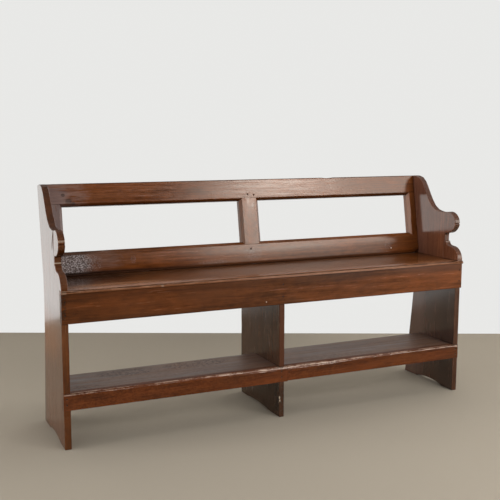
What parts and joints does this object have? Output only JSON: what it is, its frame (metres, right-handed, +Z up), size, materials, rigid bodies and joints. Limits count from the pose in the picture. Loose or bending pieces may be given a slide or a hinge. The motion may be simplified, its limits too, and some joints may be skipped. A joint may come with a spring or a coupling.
{
  "type": "monks bench",
  "caption": "Long wooden bench with shaped board ends, an open framed back that leans, a narrow seat over a front apron and a low foot shelf.",
  "frame": {"origin": "on the floor, at the middle of the bounding box's length and depth", "axes": "+X along the bench to the right of someone who looks at its front, +Y from the front to the back, +Z up"},
  "size_m": [1.366, 0.304, 0.734],
  "materials": {
    "end_wood": "dark varnished pine, glossy, upright grain",
    "frame_wood": "orange-brown varnished pine, glossy, grain along each member",
    "peg_wood": "dark end grain under varnish",
    "seat_wood": "dark varnished pine, glossy, worn paler near the front",
    "apron_wood": "orange-brown varnished pine, semi-gloss, long grain",
    "support_wood": "dark varnished pine, satin, upright grain",
    "foot_rail_wood": "red-brown varnished pine, its top edge worn to bare pale wood",
    "shelf_wood": "scuffed and pitted dark pine, varnish worn dull",
    "hidden_wood": "plain sawn pine, darkened with age",
    "nail_iron": "dark cut iron under varnish"
  },
  "bodies": {
    "root": {"end_left_front_plank": "end_wood", "end_left_rear_plank": "end_wood", "end_right_front_plank": "end_wood", "end_right_rear_plank": "end_wood", "back_top_rail": "frame_wood", "back_bottom_rail": "frame_wood", "back_stile_left": "frame_wood", "back_stile_right": "frame_wood", "back_muntin": "frame_wood", "back_peg_1": "peg_wood", "back_peg_2": "peg_wood", "back_peg_3": "peg_wood", "seat_board": "seat_wood", "front_apron": "apron_wood", "centre_support": "support_wood", "foot_rail_left": "foot_rail_wood", "foot_rail_right": "foot_rail_wood", "foot_shelf_left": "shelf_wood", "foot_shelf_right": "shelf_wood", "seat_cleat_left": "hidden_wood", "seat_cleat_right": "hidden_wood", "seat_cleat_centre_left": "hidden_wood", "seat_cleat_centre_right": "hidden_wood", "glue_block_1": "hidden_wood", "glue_block_2": "hidden_wood", "glue_block_3": "hidden_wood", "glue_block_4": "hidden_wood", "apron_nail_1": "nail_iron", "apron_nail_2": "nail_iron", "apron_nail_3": "nail_iron", "apron_nail_4": "nail_iron", "apron_nail_5": "nail_iron", "apron_nail_6": "nail_iron", "foot_rail_nail_1": "nail_iron", "foot_rail_nail_2": "nail_iron", "foot_rail_nail_3": "nail_iron", "foot_rail_nail_4": "nail_iron", "foot_rail_nail_5": "nail_iron", "foot_rail_nail_6": "nail_iron"}
  },
  "joints": []
}
